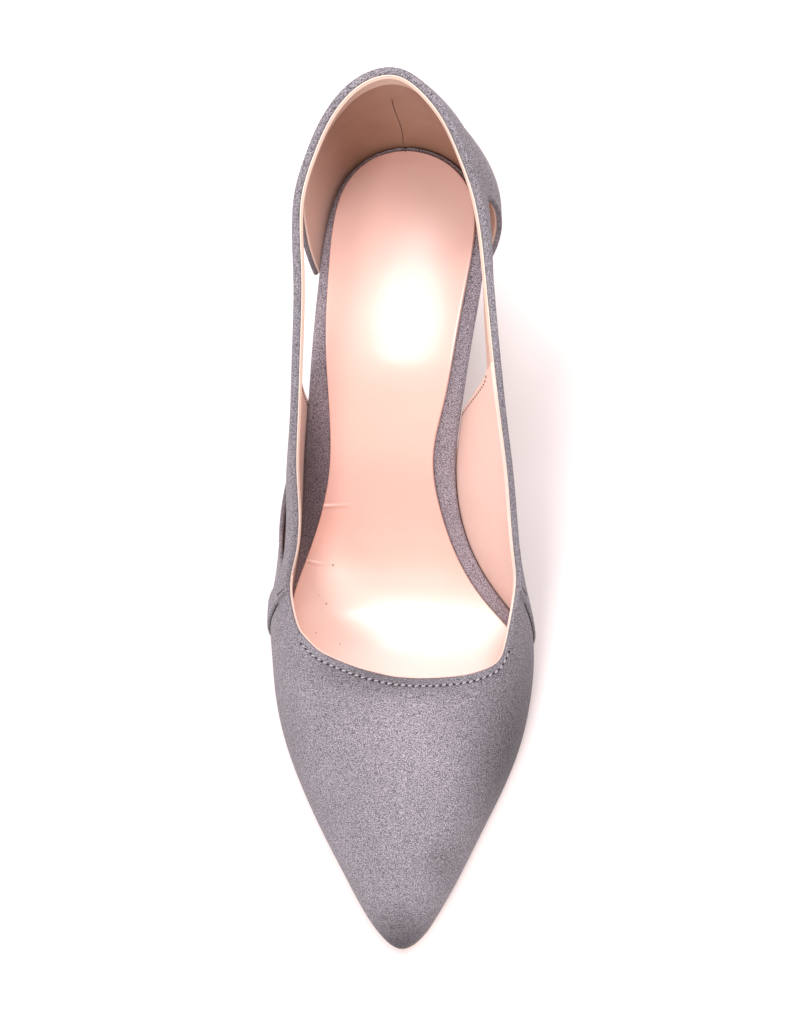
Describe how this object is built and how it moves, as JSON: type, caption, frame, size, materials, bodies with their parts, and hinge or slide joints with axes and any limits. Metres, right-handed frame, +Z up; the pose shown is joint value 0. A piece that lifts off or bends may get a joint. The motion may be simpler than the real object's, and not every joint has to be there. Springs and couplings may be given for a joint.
{
  "type": "pump shoe",
  "caption": "Right pump shoe with a pointed suede vamp, straps along the topline, an open window and a slit in each side, a satin sock and a slim covered heel.",
  "frame": {"origin": "under the middle of the shoe's outline, on the plane it stands on", "axes": "+Z up, toe towards -Y, heel towards +Y, arch (medial) side towards +X"},
  "size_m": [0.0856, 0.2448, 0.1292],
  "materials": {
    "upper_suede": "mauve-grey suede with a cloudy nap, pale lining inside",
    "board_suede": "mauve-grey suede wrap",
    "sock_satin": "glossy peach satin",
    "outsole_tan": "smooth tan",
    "heel_suede": "mauve-grey suede cover",
    "heel_tip": "matte black"
  },
  "bodies": {
    "root": {"upper": "upper_suede", "insole_board": "board_suede", "sock": "sock_satin", "outsole": "outsole_tan", "heel": "heel_suede", "top_piece": "heel_tip"}
  },
  "joints": []
}
